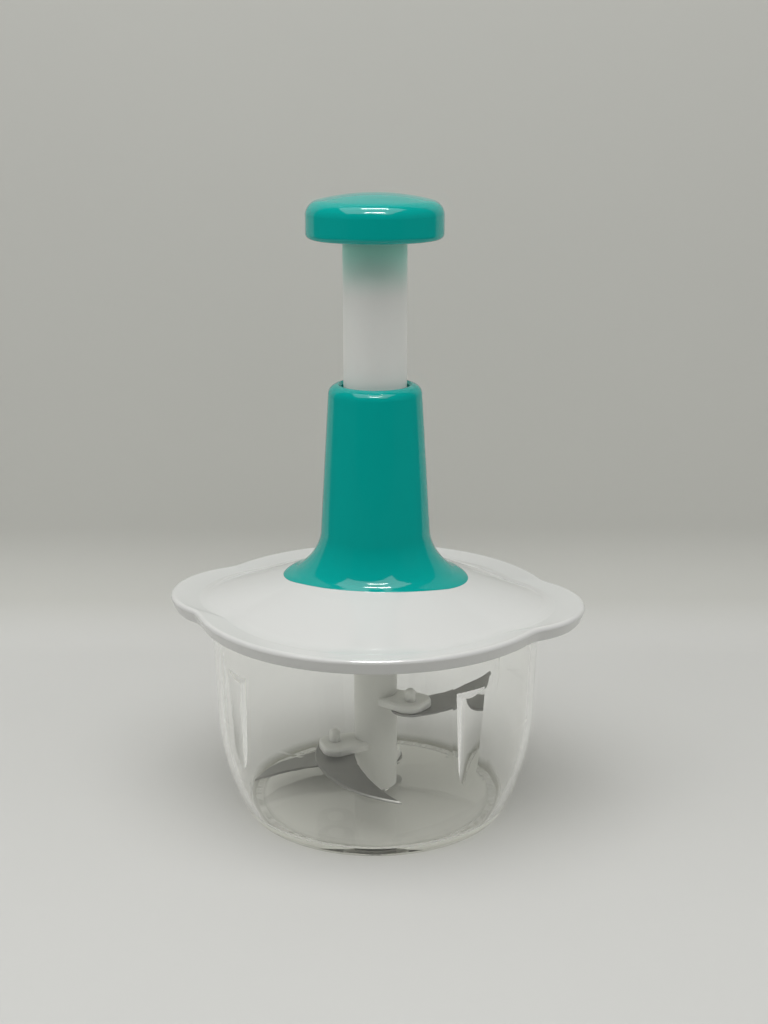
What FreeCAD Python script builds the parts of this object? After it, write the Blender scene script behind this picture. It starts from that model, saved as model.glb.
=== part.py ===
import FreeCAD, Part
import Sketcher
import math
import os
from FreeCAD import Vector

# Hand food chopper that is worked by pressing a knob.
# Millimetres. Z up, the bowl's foot centre on the table is the origin, the lid's ears lie along X.

SIZES = {
    # bowl
    "bowl_height": 97.0,
    "bowl_waist_radius": 73.0,
    "bowl_waist_height": 50.0,
    "bowl_flare": 1.6,
    "bowl_bead_width": 2.6,
    "bowl_bead_height": 3.4,
    "bowl_bead_slope": 2.0,
    "bowl_wall": 3.0,
    "bowl_floor": 5.0,
    "bowl_foot_recess": 0.8,
    "bowl_foot_width": 6.5,
    "bowl_foot_round": 4.5,
    "bowl_curve_radius": 104.8,
    "bowl_boss_radius": 7.0,
    "bowl_boss_height": 1.2,
    "rib_radius": 14.0,
    "rib_depth": 1.4,
    "rib_bottom": 26.0,
    "rib_fall": 13.0,
    "rib_slope": 10.0,
    "rib_run": 12.0,
    "rib_angle": -47.0,
    "rib_count": 4.0,
    # lid
    "lid_overlap": 3.6,
    "lid_band_height": 6.6,
    "lid_overhang": 3.3,
    "lid_taper": 15.0,
    "ear_rise": 12.6,
    "ear_radius": 36.5,
    "ear_blend": 20.0,
    "lid_wall": 2.6,
    "valley_inset": 9.5,
    "valley_depth": 1.4,
    "valley_round": 15.0,
    "valley_turn": 22.6,
    "valley_ear_radius": 42.0,
    "dome_start_inset": 0.6,
    "dome_mid_radius": 39.5,
    "dome_mid_fall": 7.5,
    "dome_inset": 2.0,
    "dome_drop": 1.9,
    "plug_shelf": 4.1,
    "valley_ear_inset": 11.6,
    "band_round": 1.6,
    "lid_low_round": 0.4,
    "turret_rise": 18.0,
    "turret_wall": 2.5,
    "plug_wall": 4.0,
    "plug_depth": 6.5,
    "plug_gap": 1.5,
    "plug_bite": 0.8,
    "post_bite": 0.5,
    "seal_height": 3.0,
    "seal_depth": 2.0,
    "seal_lift": 1.3,
    "seal_gap": 0.12,
    "plate_thickness": 2.0,
    "plate_bore": 14.6,
    "post_radius": 4.0,
    "grip_seat_sunk": 0.4,
    "valley_lip": 0.4,
    # grip
    "grip_spare": 20.2,
    "grip_top_wall": 2.1,
    "grip_taper": 4.0,
    "grip_flare_rise": 14.2,
    "grip_round": 4.6,
    "grip_mouth_gap": 1.25,
    "grip_wall": 2.2,
    "grip_crown": 0.35,
    "grip_rim_inset": 4.28,
    "grip_mouth_bevel": 1.0,
    "grip_roof": 5.2,
    "foot_long_flare": 17.9,
    "foot_short_flare": 9.0,
    "foot_fall": 9.5,
    "grip_screw_step": 7.1,
    "grip_boss_radius": 3.4,
    "grip_hole_spare": 2.0,
    # plunger and knob
    "bar_clear": 3.0,
    "tube_radius": 13.95,
    "tube_wall": 2.0,
    "knob_floor": 2.5,
    "tube_plug": 10.0,
    "collar_step": 2.45,
    "collar_height": 3.0,
    "collar_depth": 15.2,
    "collar_gap": 0.2,
    "sleeve_wall": 1.8,
    "sleeve_bearing": 10.0,
    "key_width": 5.0,
    "key_gap": 0.3,
    "key_root": 0.5,
    "knob_radius": 29.8,
    "knob_gap": 2.4,
    "knob_skirt": 4.9,
    "knob_crown_rise": 2.9,
    "knob_side": 5.5,
    "knob_round_inset": 5.5,
    "knob_round_rise": 6.1,
    "knob_wall": 2.4,
    "knob_band": 2.4,
    "knob_boss": 3.0,
    "knob_spigot": 2.2,
    "knob_side_bulge": 0.6,
    "knob_crown_wall": 2.0,
    # drive
    "lead": 26.0,
    "bar_width": 9.0,
    "bar_thickness": 4.5,
    "bar_tail": 6.3,
    "bar_turns": 3.5,
    "bar_head_radius": 6.5,
    "bar_head": 2.0,
    "nut_inset": 2.5,
    "nut_height": 11.6,
    "hub_radius": 12.0,
    "flange_play": 1.0,
    "hub_flange": 2.4,
    "hub_drop": 6.5,
    "hub_bore": 6.2,
    "tooth_height": 1.2,
    "teeth": 8.0,
    "tooth_depth": 4.0,
    "tooth_share": 0.4,
    "tooth_inset": 0.5,
    "head_flats": 15.2,
    "head_height": 10.0,
    "head_neck": 1.0,
    "head_gap": 0.2,
    "bush_wall": 2.4,
    "bush_flange": 1.0,
    "bush_length": 6.0,
    "bush_flange_inset": 0.2,
    "cap_thickness": 3.0,
    "cap_bore": 6.4,
    "spring_wire": 1.4,
    "spring_inset": 2.75,
    "spring_turns": 22.0,
    "spring_seat_depth": 1.0,
    # blade set
    "shaft_top_radius": 10.1,
    "shaft_low_radius": 9.8,
    "shaft_lift": 1.3,
    "shaft_bore": 6.0,
    "bore_web": 4.2,
    "pin_radius": 3.0,
    "pin_rise": 23.6,
    "pin_sunk": 3.0,
    "pin_chamfer": 1.5,
    "pin_shows": 2.0,
    "pivot_wall": 2.0,
    "pivot_flange": 1.2,
    "pivot_flange_radius": 6.4,
    "peg_circle": 20.0,
    "lobe_radius": 6.9,
    "lobe_lead": 4.0,
    "lobe_trail": 1.0,
    "lobe_neck": 6.6,
    "lobe_height": 3.5,
    "lobe_round": 1.2,
    "peg_radius": 2.5,
    "peg_rise": 6.0,
    "peg_head_radius": 3.8,
    "peg_head": 1.2,
    "blade_thickness": 1.1,
    "blade_root": 8.7,
    "blade_belly": 54.0,
    "blade_hollow": 95.0,
    "blade_tip_gap": 3.1,
    "blade_bevel": 0.5,
    "blade_inner_angle": 18.0,
    "blade_back_angle": 10.0,
    "blade_outer_angle": 25.0,
    "lower_lift": 6.4,
    "lower_angle": 87.0,
    "lower_sweep": 111.0,
    "middle_lift": 22.0,
    "middle_angle": 207.0,
    "middle_sweep": 82.0,
    "upper_lift": 44.4,
    "upper_angle": 331.0,
    "upper_sweep": 68.0,
    # screws
    "screw_radius": 1.45,
    "screw_head_radius": 2.9,
    "screw_head": 1.9,
    "screw_length": 9.0,
    "grip_screw_count": 4.0,
    "plate_screw_count": 3.0,
    "knob_screw_count": 3.0,
    "plate_screw_circle": 36.0,
    "knob_screw_circle": 9.4,
    # clearances
    "slide_gap": 0.06,
    "turn_gap": 0.05,
    "screw_gap": 0.25,
    "sleeve_gap": 0.1,
    "end_gap": 0.1,
    "snap_gap": 0.05,
    "overlap": 1.0,
}


class Size:
    """A number from the sheet, or worked out from it, with the expression that gives it."""

    def __init__(self, value, text):
        self.value = value
        self.text = text

    def __add__(self, other):
        other = as_size(other)
        return Size(self.value + other.value, f"({self.text} + {other.text})")

    def __sub__(self, other):
        other = as_size(other)
        return Size(self.value - other.value, f"({self.text} - {other.text})")

    def __mul__(self, other):
        other = as_size(other)
        return Size(self.value * other.value, f"({self.text} * {other.text})")

    def __truediv__(self, other):
        other = as_size(other)
        return Size(self.value / other.value, f"({self.text} / {other.text})")

    def __radd__(self, other):
        return as_size(other) + self

    def __rsub__(self, other):
        return as_size(other) - self

    def __rmul__(self, other):
        return as_size(other) * self

    def __neg__(self):
        return Size(-self.value, f"(0 - {self.text})")


def as_size(number):
    if isinstance(number, Size):
        return number
    return Size(float(number), repr(float(number)))


def root(size):
    return Size(math.sqrt(size.value), f"sqrt({size.text})")


def cosine(angle):
    angle = as_size(angle)
    return Size(math.cos(math.radians(angle.value)), f"cos({angle.text})")


def sine(angle):
    angle = as_size(angle)
    return Size(math.sin(math.radians(angle.value)), f"sin({angle.text})")


def tangent(angle):
    angle = as_size(angle)
    return Size(math.tan(math.radians(angle.value)), f"tan({angle.text})")


doc = FreeCAD.newDocument("chopper")


class Sheet:
    """The sheet of driving sizes: each one is read as an attribute by its name."""

    def __init__(self, sizes):
        cells = doc.addObject("Spreadsheet::Sheet", "Sizes")
        for row, (name, number) in enumerate(sizes.items(), start=1):
            cells.set(f"A{row}", name)
            cells.set(f"B{row}", str(number))
            cells.setAlias(f"B{row}", name)
        self.numbers = sizes

    def __getattr__(self, name):
        return Size(self.numbers[name], f"Sizes.{name}")


s = Sheet(SIZES)
doc.recompute()

parts = []


# Sketch and feature helpers

def new_body(label):
    body = doc.addObject("PartDesign::Body", label)
    body.Label = label
    return body


def origin_item(body, role):
    return next(item for item in body.Origin.OriginFeatures if item.Role == role)


def bind(item, name, size):
    item.setExpression(name, as_size(size).text)


def new_sketch(body, role, name, lift=None, shift=None):
    sketch = body.newObject("Sketcher::SketchObject", name)
    sketch.AttachmentSupport = [(origin_item(body, role), "")]
    sketch.MapMode = "FlatFace"
    if lift is not None:
        bind(sketch, "AttachmentOffset.Base.z", lift)
    if shift is not None:
        bind(sketch, "AttachmentOffset.Base.x", shift)
    return sketch


def pin_point(sketch, edge, end, x, y):
    """Hold one end of an edge at x, y."""
    for kind, axis, size in (("DistanceX", -2, x), ("DistanceY", -1, y)):
        size = as_size(size)
        if size.text == "0.0":
            sketch.addConstraint(Sketcher.Constraint("PointOnObject", edge, end, axis))
            continue
        index = sketch.addConstraint(Sketcher.Constraint(kind, -1, 1, edge, end, size.value))
        bind(sketch, f"Constraints[{index}]", size)


def arc_between(start, end, radius, turn):
    """Short arc from start to end, turn 1 is counter-clockwise and -1 clockwise."""
    chord = end - start
    height = math.sqrt(max(radius ** 2 - (chord.Length / 2) ** 2, 0.0))
    side = Vector(-chord.y, chord.x, 0).normalize()
    centre = (start + end) * 0.5 + side * height * turn
    first, last = (start, end) if turn > 0 else (end, start)
    a = math.atan2(first.y - centre.y, first.x - centre.x)
    b = math.atan2(last.y - centre.y, last.x - centre.x)
    return Part.ArcOfCircle(Part.Circle(centre, Vector(0, 0, 1), radius), a, b)


def outline(sketch, corners):
    """Closed outline. A corner is (x, y), or (x, y, radius, turn) where an arc leaves it."""
    points = [Vector(as_size(c[0]).value, as_size(c[1]).value, 0) for c in corners]
    ends = []
    for index, corner in enumerate(corners):
        start = points[index]
        end = points[(index + 1) % len(points)]
        if len(corner) == 2:
            edge = sketch.addGeometry(Part.LineSegment(start, end))
            ends.append((edge, 1, 2))
            continue
        radius = as_size(corner[2])
        edge = sketch.addGeometry(arc_between(start, end, radius.value, corner[3]))
        ends.append((edge, 1, 2) if corner[3] > 0 else (edge, 2, 1))
    for index, corner in enumerate(corners):
        edge, first, last = ends[index]
        following, its_first, its_last = ends[(index + 1) % len(ends)]
        sketch.addConstraint(Sketcher.Constraint("Coincident", edge, last, following, its_first))
        pin_point(sketch, edge, first, corner[0], corner[1])
        if len(corner) == 4:
            radius = as_size(corner[2])
            held = sketch.addConstraint(Sketcher.Constraint("Radius", edge, radius.value))
            bind(sketch, f"Constraints[{held}]", radius)


def circle(sketch, x, y, radius):
    x, y, radius = as_size(x), as_size(y), as_size(radius)
    round_edge = Part.Circle(Vector(x.value, y.value, 0), Vector(0, 0, 1), radius.value)
    edge = sketch.addGeometry(round_edge)
    pin_point(sketch, edge, 3, x, y)
    held = sketch.addConstraint(Sketcher.Constraint("Radius", edge, radius.value))
    bind(sketch, f"Constraints[{held}]", radius)


def finish_feature(body, feature):
    body.Tip = feature
    doc.recompute()
    return feature


def turn_profile(body, name, corners, kind="Revolution", shift=None):
    """Turn an outline of radius and height about the upright axis, or about one at x = shift."""
    sketch = new_sketch(body, "XZ_Plane", name + "_sketch", shift=shift)
    outline(sketch, corners)
    feature = body.newObject("PartDesign::" + kind, name)
    feature.Profile = sketch
    feature.ReferenceAxis = (sketch, ["V_Axis"])
    feature.Angle = 360
    return finish_feature(body, feature)


def raise_profile(body, name, draw, bottom, height, kind="Pad"):
    """Pad, or pocket, from bottom upwards what draw puts in the sketch."""
    sketch = new_sketch(body, "XY_Plane", name + "_sketch", lift=bottom)
    draw(sketch)
    feature = body.newObject("PartDesign::" + kind, name)
    feature.Profile = sketch
    bind(feature, "Length", height)
    feature.Reversed = kind == "Pocket"
    return finish_feature(body, feature)


def cut_profile(body, name, draw, bottom, height):
    before = body.Shape.Volume
    feature = raise_profile(body, name, draw, bottom, height, "Pocket")
    if feature.Shape.Volume > before - 1e-6:
        raise RuntimeError(f"{name} cuts nothing")
    return feature


def repeat_round(body, name, features, count):
    pattern = body.newObject("PartDesign::PolarPattern", name)
    pattern.Originals = features
    pattern.Axis = (origin_item(body, "Z_Axis"), [""])
    pattern.Angle = 360
    bind(pattern, "Occurrences", count)
    return finish_feature(body, pattern)


def round_edges(body, name, radius, wanted, kind="Fillet"):
    """Round, or chamfer, the edges of the body's tip that the test wants."""
    base = body.Tip
    names = [f"Edge{i}" for i, edge in enumerate(base.Shape.Edges, start=1) if wanted(edge)]
    feature = body.newObject("PartDesign::" + kind, name)
    feature.Base = (base, names)
    bind(feature, "Radius" if kind == "Fillet" else "Size", radius)
    return finish_feature(body, feature)


def keep(item, label=None):
    """Put a finished piece on the list of pieces."""
    if label is not None:
        item.Label = label
    parts.append(item)
    return item


def turned(label, corners):
    body = new_body(label)
    turn_profile(body, label + "_turned", corners)
    return keep(body)


def turn_body(body, angle):
    """Turn a body about the upright axis."""
    body.Placement = FreeCAD.Placement(Vector(0, 0, 0),
                                       FreeCAD.Rotation(Vector(0, 0, 1), angle.value))
    bind(body, "Placement.Rotation.Angle", angle)


def boolean(kind, name, base, tool):
    item = doc.addObject("Part::" + kind, name)
    item.Base = base
    item.Tool = tool
    doc.recompute()
    return item


def fused(name, items):
    item = doc.addObject("Part::MultiFuse", name)
    item.Shapes = items
    doc.recompute()
    return item


# Shared places

bowl_rim_radius = s.bowl_waist_radius + s.bowl_flare
bowl_bead_radius = bowl_rim_radius + s.bowl_bead_width
curve_centre = s.bowl_waist_radius - s.bowl_curve_radius
foot_drop = root(s.bowl_curve_radius * s.bowl_curve_radius
                 - s.bowl_waist_height * s.bowl_waist_height)
foot_radius = curve_centre + foot_drop
inner_curve = s.bowl_curve_radius - s.bowl_wall
rim_inner_radius = bowl_rim_radius - s.bowl_wall
rib_top = s.bowl_height - s.rib_fall


def bowl_inner_radius(height):
    """Radius of the bowl's inner wall below its waist."""
    drop = s.bowl_waist_height - height
    return curve_centre + root(inner_curve * inner_curve - drop * drop)


boss_top = s.bowl_floor + s.bowl_boss_height
pin_top = boss_top + s.pin_rise
pivot_radius = s.pin_radius + s.turn_gap + s.pivot_wall
shaft_bottom = boss_top + s.shaft_lift
shaft_bore_floor = pin_top + s.bore_web

collar_radius = s.tube_radius + s.collar_step
sleeve_inner_radius = collar_radius + s.collar_gap
sleeve_radius = sleeve_inner_radius + s.sleeve_wall
key_reach = sleeve_radius - s.key_gap
tube_bore = s.tube_radius - s.tube_wall
turret_outer_radius = sleeve_radius + s.sleeve_gap
turret_bore = turret_outer_radius - s.turret_wall

lid_edge_height = s.bowl_height - s.lid_overlap
lid_top = lid_edge_height + s.lid_band_height
lid_radius = bowl_bead_radius + s.lid_overhang
ear_reach = lid_radius + s.ear_rise
valley_height = lid_top - s.valley_depth
valley_radius = lid_radius - s.valley_inset
valley_ear_reach = ear_reach - s.valley_ear_inset
turret_height = lid_top + s.turret_rise
dome_mid_height = turret_height - s.dome_mid_fall
dome_slope = s.dome_mid_fall / (s.dome_mid_radius - turret_outer_radius)
dome_end_height = valley_height + s.valley_round * (1.0 - cosine(s.valley_turn))
ear_slope = ((dome_mid_height - dome_end_height)
             / (valley_ear_reach - s.valley_round * sine(s.valley_turn) - s.dome_mid_radius))
dome_thickness = s.lid_wall * root(dome_slope * dome_slope + 1.0)


def dome_height(radius):
    return dome_mid_height + (s.dome_mid_radius - radius) * dome_slope


def dome_under(radius):
    return dome_height(radius) - dome_thickness


plug_radius = rim_inner_radius - s.plug_gap
plug_inner_radius = plug_radius - s.plug_wall
plug_bottom = s.bowl_height - s.plug_depth
plate_top = plug_bottom + s.plate_thickness
seal_bottom = plug_bottom + s.seal_lift
seal_inner_radius = plug_radius - s.seal_depth
seal_outer_radius = rim_inner_radius - s.seal_gap

bush_radius = s.hub_radius + s.turn_gap + s.bush_wall
hub_flange_radius = turret_bore - s.flange_play
nut_radius = hub_flange_radius - s.nut_inset
tooth_ring = nut_radius - s.tooth_depth
hub_bottom = plug_bottom - s.hub_drop
shelf_top = plate_top + s.bush_length
flange_bottom = shelf_top + s.bush_flange + s.end_gap
flange_top = flange_bottom + s.hub_flange
nut_bottom = flange_top + s.tooth_height + s.end_gap
nut_top = nut_bottom + s.nut_height - s.tooth_height - s.end_gap
cap_bottom = turret_height - s.cap_thickness
spring_seat = turret_height - s.spring_seat_depth
spring_radius = tube_bore - s.spring_inset
bar_bottom = nut_bottom - s.bar_tail
head_bottom = hub_bottom - s.head_neck
head_top = head_bottom + s.head_height

stroke = bar_bottom - shaft_bore_floor - s.bar_clear
grip_top = turret_height + stroke + s.grip_spare
grip_top_radius = sleeve_radius + s.grip_top_wall
grip_low_radius = grip_top_radius + s.grip_taper
grip_low_height = turret_height + s.grip_flare_rise
grip_mouth_radius = s.tube_radius + s.grip_mouth_gap
foot_long = grip_low_radius + s.foot_long_flare
foot_short = grip_low_radius + s.foot_short_flare
foot_height = turret_height - s.foot_fall
grip_screw_radius = turret_outer_radius + s.grip_screw_step
grip_seat_height = dome_under(grip_screw_radius + s.post_radius) - s.grip_seat_sunk

collar_rest = grip_top - s.collar_depth
tube_bottom = collar_rest - s.collar_height
sleeve_top = collar_rest + s.sleeve_bearing
knob_bottom = grip_top + stroke + s.knob_gap
knob_seam = knob_bottom + s.knob_skirt
knob_shoulder = knob_seam + s.knob_side
knob_crown_height = knob_shoulder + s.knob_round_rise
knob_top = knob_crown_height + s.knob_crown_rise
knob_crown_radius = s.knob_radius - s.knob_round_inset
tube_top = knob_seam - s.knob_floor
plug_floor = tube_top - s.tube_plug


def blade_height(name):
    """Height of the underside of a blade."""
    return s.bowl_floor + getattr(s, name + "_lift")


# Bowl

def wall_outline(outer):
    """Half section of the bowl, or with outer True of the solid that its outside bounds."""
    outside = [
        (foot_radius, 0, s.bowl_curve_radius, 1),
        (s.bowl_waist_radius, s.bowl_waist_height),
        (bowl_rim_radius, s.bowl_height - s.bowl_bead_height - s.bowl_bead_slope),
    ]
    if outer:
        return [(0, 0)] + outside + [(bowl_rim_radius, s.bowl_height), (0, s.bowl_height)]
    rim = [
        (bowl_bead_radius, s.bowl_height - s.bowl_bead_height),
        (bowl_bead_radius, s.bowl_height),
        (rim_inner_radius, s.bowl_height),
        (rim_inner_radius, s.bowl_height - s.bowl_bead_height - s.bowl_bead_slope),
    ]
    inside = [
        (s.bowl_waist_radius - s.bowl_wall, s.bowl_waist_height, inner_curve, -1),
        (bowl_inner_radius(s.bowl_floor), s.bowl_floor),
        (s.bowl_boss_radius, s.bowl_floor),
        (s.bowl_boss_radius, boss_top),
        (s.pin_radius, boss_top),
        (s.pin_radius, boss_top - s.pin_sunk),
        (0, boss_top - s.pin_sunk),
    ]
    foot = [
        (0, s.bowl_foot_recess),
        (foot_radius - s.bowl_foot_width, s.bowl_foot_recess),
        (foot_radius - s.bowl_foot_width, 0),
    ]
    return foot + outside + rim + inside


def make_bowl():
    shell = new_body("bowl_shell")
    turn_profile(shell, "bowl_turned", wall_outline(False))
    inner_corner = bowl_inner_radius(s.bowl_floor).value

    def floor_corner(edge):
        if edge.Curve.TypeId != "Part::GeomCircle":
            return False
        same_height = abs(edge.Curve.Center.z - s.bowl_floor.value) < 0.01
        return same_height and abs(edge.Curve.Radius - inner_corner) < 0.01

    def foot_edge(edge):
        if edge.Curve.TypeId != "Part::GeomCircle":
            return False
        return (abs(edge.Curve.Center.z) < 0.01
                and abs(edge.Curve.Radius - foot_radius.value) < 0.01)

    round_edges(shell, "bowl_corner", s.bowl_wall, floor_corner)
    round_edges(shell, "bowl_foot", s.bowl_foot_round, foot_edge)

    solid = new_body("bowl_outside")
    turn_profile(solid, "bowl_outside_turned", wall_outline(True))

    ribs = new_body("bowl_rib_blanks")
    rib_line = s.bowl_waist_radius - s.bowl_wall - s.rib_depth + s.rib_radius
    raise_profile(ribs, "rib_column", lambda k: circle(k, rib_line, 0, s.rib_radius),
                  s.rib_bottom, rib_top + s.rib_slope - s.rib_bottom)
    column = ribs.Tip
    inside_edge = rib_line - s.rib_radius
    clear_of_rib = inside_edge - s.bowl_bead_slope
    turn_profile(ribs, "rib_slant", [
        (clear_of_rib, rib_top - s.rib_slope),
        (inside_edge, rib_top - s.rib_slope),
        (inside_edge + s.rib_run, rib_top + s.rib_slope),
        (clear_of_rib, rib_top + s.rib_slope),
    ], "Groove")
    repeat_round(ribs, "rib_round", [column, ribs.Tip], s.rib_count)
    turn_body(ribs, s.rib_angle)
    doc.recompute()
    inside = boolean("Common", "bowl_ribs", ribs, solid)
    keep(fused("bowl_joined", [shell, inside]), "bowl")


def make_pivot():
    turned("bowl_pivot_pin", [
        (0, boss_top - s.pin_sunk),
        (s.pin_radius, boss_top - s.pin_sunk),
        (s.pin_radius, pin_top - s.pin_chamfer),
        (s.pin_radius - s.pin_chamfer, pin_top),
        (0, pin_top),
    ])
    bore = s.pin_radius + s.turn_gap
    turned("pivot_bush", [
        (bore, boss_top),
        (s.pivot_flange_radius, boss_top),
        (s.pivot_flange_radius, boss_top + s.pivot_flange),
        (pivot_radius, boss_top + s.pivot_flange),
        (pivot_radius, pin_top - s.pin_shows),
        (bore, pin_top - s.pin_shows),
    ])


# Lid

def lobe_corners(radius, reach, ear, blend):
    """Where the ear and the rim of a lobed outline meet the hollow curve between them."""
    ear_centre = reach - ear
    x = ((radius + blend) * (radius + blend) - (ear + blend) * (ear + blend)
         + ear_centre * ear_centre) / (ear_centre * 2.0)
    y = root((radius + blend) * (radius + blend) - x * x)
    near = radius / (radius + blend)
    far = ear / (ear + blend)
    return ear_centre + (x - ear_centre) * far, y * far, x * near, y * near


def eight_arcs(sketch, corners, radii, turns):
    """Closed outline of eight arcs, alike on both sides of X and of Y."""
    ear_x, ear_y, rim_x, rim_y = corners
    ear, blend, radius = radii
    outline(sketch, [
        (ear_x, -ear_y, ear, 1),
        (ear_x, ear_y, blend, turns),
        (rim_x, rim_y, radius, 1),
        (-rim_x, rim_y, blend, turns),
        (-ear_x, ear_y, ear, 1),
        (-ear_x, -ear_y, blend, turns),
        (-rim_x, -rim_y, radius, 1),
        (rim_x, -rim_y, blend, turns),
    ])


def lobed(sketch, radius, reach, ear, blend):
    """Circle with a round ear on each side along X, joined by hollow curves."""
    eight_arcs(sketch, lobe_corners(radius, reach, ear, blend), (ear, blend, radius), -1)


def lobed_inset(sketch, inset):
    lobed(sketch, lid_radius - inset, ear_reach - inset, s.ear_radius - inset,
          s.ear_blend + inset)


def crease(sketch, inset):
    """Outline of the valley between the flange and the dome, or one inside it."""
    lobed(sketch, valley_radius - inset, valley_ear_reach - inset,
          s.valley_ear_radius - inset, s.ear_blend + inset)


def ring_like_crease(sketch, radius):
    """Circle in eight arcs that meet where those of the crease do."""
    ear_x, ear_y, rim_x, rim_y = lobe_corners(valley_radius, valley_ear_reach,
                                              s.valley_ear_radius, s.ear_blend)
    ear_share = radius / root(ear_x * ear_x + ear_y * ear_y)
    rim_share = radius / valley_radius
    corners = (ear_x * ear_share, ear_y * ear_share, rim_x * rim_share, rim_y * rim_share)
    eight_arcs(sketch, corners, (radius, radius, radius), 1)


def lofted(body, name, kind, sections):
    feature = body.newObject("PartDesign::" + kind, name)
    feature.Profile = sections[0]
    feature.Sections = sections[1:]
    feature.Ruled = True
    return finish_feature(body, feature)


def make_lid():
    body = new_body("lid_shell")
    spread = s.lid_band_height * tangent(s.lid_taper)
    low = new_sketch(body, "XY_Plane", "lid_low", lift=lid_edge_height)
    lobed_inset(low, s.lid_low_round)
    levels = [low]
    steps = 5
    side = new_sketch(body, "XY_Plane", "lid_side", lift=lid_edge_height + s.lid_low_round)
    lobed_inset(side, 0.0)
    levels.append(side)
    for step in range(steps + 1):
        angle = 90.0 * step / steps
        inset = s.band_round * (1.0 - cosine(angle)) - spread
        lift = lid_top - s.band_round * (1.0 - sine(angle))
        level = new_sketch(body, "XY_Plane", f"lid_round_{step}", lift=lift)
        lobed_inset(level, inset)
        levels.append(level)
    lofted(body, "lid_band", "AdditiveLoft", levels)
    cut_profile(body, "lid_hollow", lambda k: lobed_inset(k, s.lid_wall),
                lid_edge_height, s.bowl_height - lid_edge_height)
    outer = new_sketch(body, "XY_Plane", "band_outer", lift=lid_top)
    lobed_inset(outer, s.band_round - spread + s.valley_lip)
    inner = new_sketch(body, "XY_Plane", "band_inner", lift=valley_height)
    crease(inner, 0.0)
    lofted(body, "lid_valley", "SubtractiveLoft", [outer, inner])
    levels = []
    for step in range(steps + 1):
        angle = s.valley_turn * (step / steps)
        inset = s.valley_round * sine(angle)
        if step == 0:
            inset = s.dome_start_inset
        lift = valley_height + s.valley_round * (1.0 - cosine(angle))
        level = new_sketch(body, "XY_Plane", f"dome_round_{step}", lift=lift)
        crease(level, inset)
        levels.append(level)
    for radius, lift in ((s.dome_mid_radius, dome_mid_height),
                         (turret_outer_radius, turret_height)):
        level = new_sketch(body, "XY_Plane", f"dome_ring_{len(levels)}", lift=lift)
        ring_like_crease(level, radius)
        levels.append(level)
    lofted(body, "lid_dome", "AdditiveLoft", levels)
    cavity_radius = plug_inner_radius - s.plug_shelf
    neck_height = dome_under(turret_outer_radius)
    turn_profile(body, "lid_cavity", [
        (0, s.bowl_height - s.overlap),
        (cavity_radius, s.bowl_height - s.overlap),
        (cavity_radius, s.bowl_height),
        (s.dome_mid_radius - s.dome_inset, dome_mid_height - s.dome_drop),
        (turret_outer_radius, neck_height),
        (turret_bore, neck_height),
        (turret_bore, turret_height),
        (0, turret_height),
    ], "Groove")
    turn_profile(body, "lid_tower", [
        (bush_radius, plate_top),
        (turret_outer_radius, plate_top),
        (turret_outer_radius, neck_height + s.overlap),
        (turret_bore, neck_height + s.overlap),
        (turret_bore, shelf_top),
        (bush_radius, shelf_top),
    ])
    plug_top = s.bowl_height + s.plug_bite
    turn_profile(body, "lid_plug", [
        (plug_inner_radius, plug_bottom),
        (plug_radius, plug_bottom),
        (plug_radius, seal_bottom),
        (seal_inner_radius, seal_bottom),
        (seal_inner_radius, seal_bottom + s.seal_height),
        (plug_radius, seal_bottom + s.seal_height),
        (plug_radius, plug_top),
        (plug_inner_radius, plug_top),
    ])
    # posts that the inner plate is screwed to
    post = raise_profile(body, "plate_post",
                         lambda k: circle(k, s.plate_screw_circle, 0, s.post_radius),
                         plate_top, dome_under(s.plate_screw_circle) + s.post_bite - plate_top)
    hole = cut_profile(body, "plate_post_hole",
                       lambda k: circle(k, s.plate_screw_circle, 0, s.screw_radius),
                       plate_top, s.screw_length)
    repeat_round(body, "plate_posts", [post, hole], s.plate_screw_count)
    # seats and holes of the screws that hold the grip
    seat = raise_profile(body, "grip_seat",
                         lambda k: circle(k, grip_screw_radius, 0, s.post_radius),
                         grip_seat_height, dome_under(grip_screw_radius) + s.overlap
                         - grip_seat_height)
    through = cut_profile(body, "grip_seat_hole",
                          lambda k: circle(k, grip_screw_radius, 0,
                                           s.screw_radius + s.screw_gap),
                          grip_seat_height - s.overlap,
                          turret_height - grip_seat_height)
    repeat_round(body, "grip_seats", [seat, through], s.grip_screw_count)
    keep(body)


def make_lid_fittings():
    body = new_body("lid_inner_plate")
    turn_profile(body, "plate_turned", [
        (s.plate_bore, plug_bottom),
        (plug_inner_radius - s.end_gap, plug_bottom),
        (plug_inner_radius - s.end_gap, plate_top),
        (s.plate_bore, plate_top),
    ])
    hole = cut_profile(body, "plate_hole",
                       lambda k: circle(k, s.plate_screw_circle, 0,
                                        s.screw_radius + s.screw_gap),
                       plug_bottom, s.plate_thickness)
    repeat_round(body, "plate_holes", [hole], s.plate_screw_count)
    keep(body)
    middle = seal_bottom + s.seal_height * 0.5
    turned("seal_ring", [
        (seal_inner_radius, seal_bottom),
        (plug_radius, seal_bottom),
        (seal_outer_radius, middle),
        (plug_radius, seal_bottom + s.seal_height),
        (seal_inner_radius, seal_bottom + s.seal_height),
    ])
    bore = s.hub_radius + s.turn_gap
    turned("hub_bush", [
        (bore, plate_top),
        (bush_radius, plate_top),
        (bush_radius, shelf_top),
        (turret_bore - s.bush_flange_inset, shelf_top),
        (turret_bore - s.bush_flange_inset, shelf_top + s.bush_flange),
        (bore, shelf_top + s.bush_flange),
    ])
    turned("nut_cap", [
        (s.cap_bore, cap_bottom),
        (turret_bore, cap_bottom),
        (turret_bore, turret_height),
        (spring_radius + s.spring_wire, turret_height),
        (spring_radius + s.spring_wire, spring_seat),
        (s.cap_bore, spring_seat),
    ])


# Grip

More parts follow.
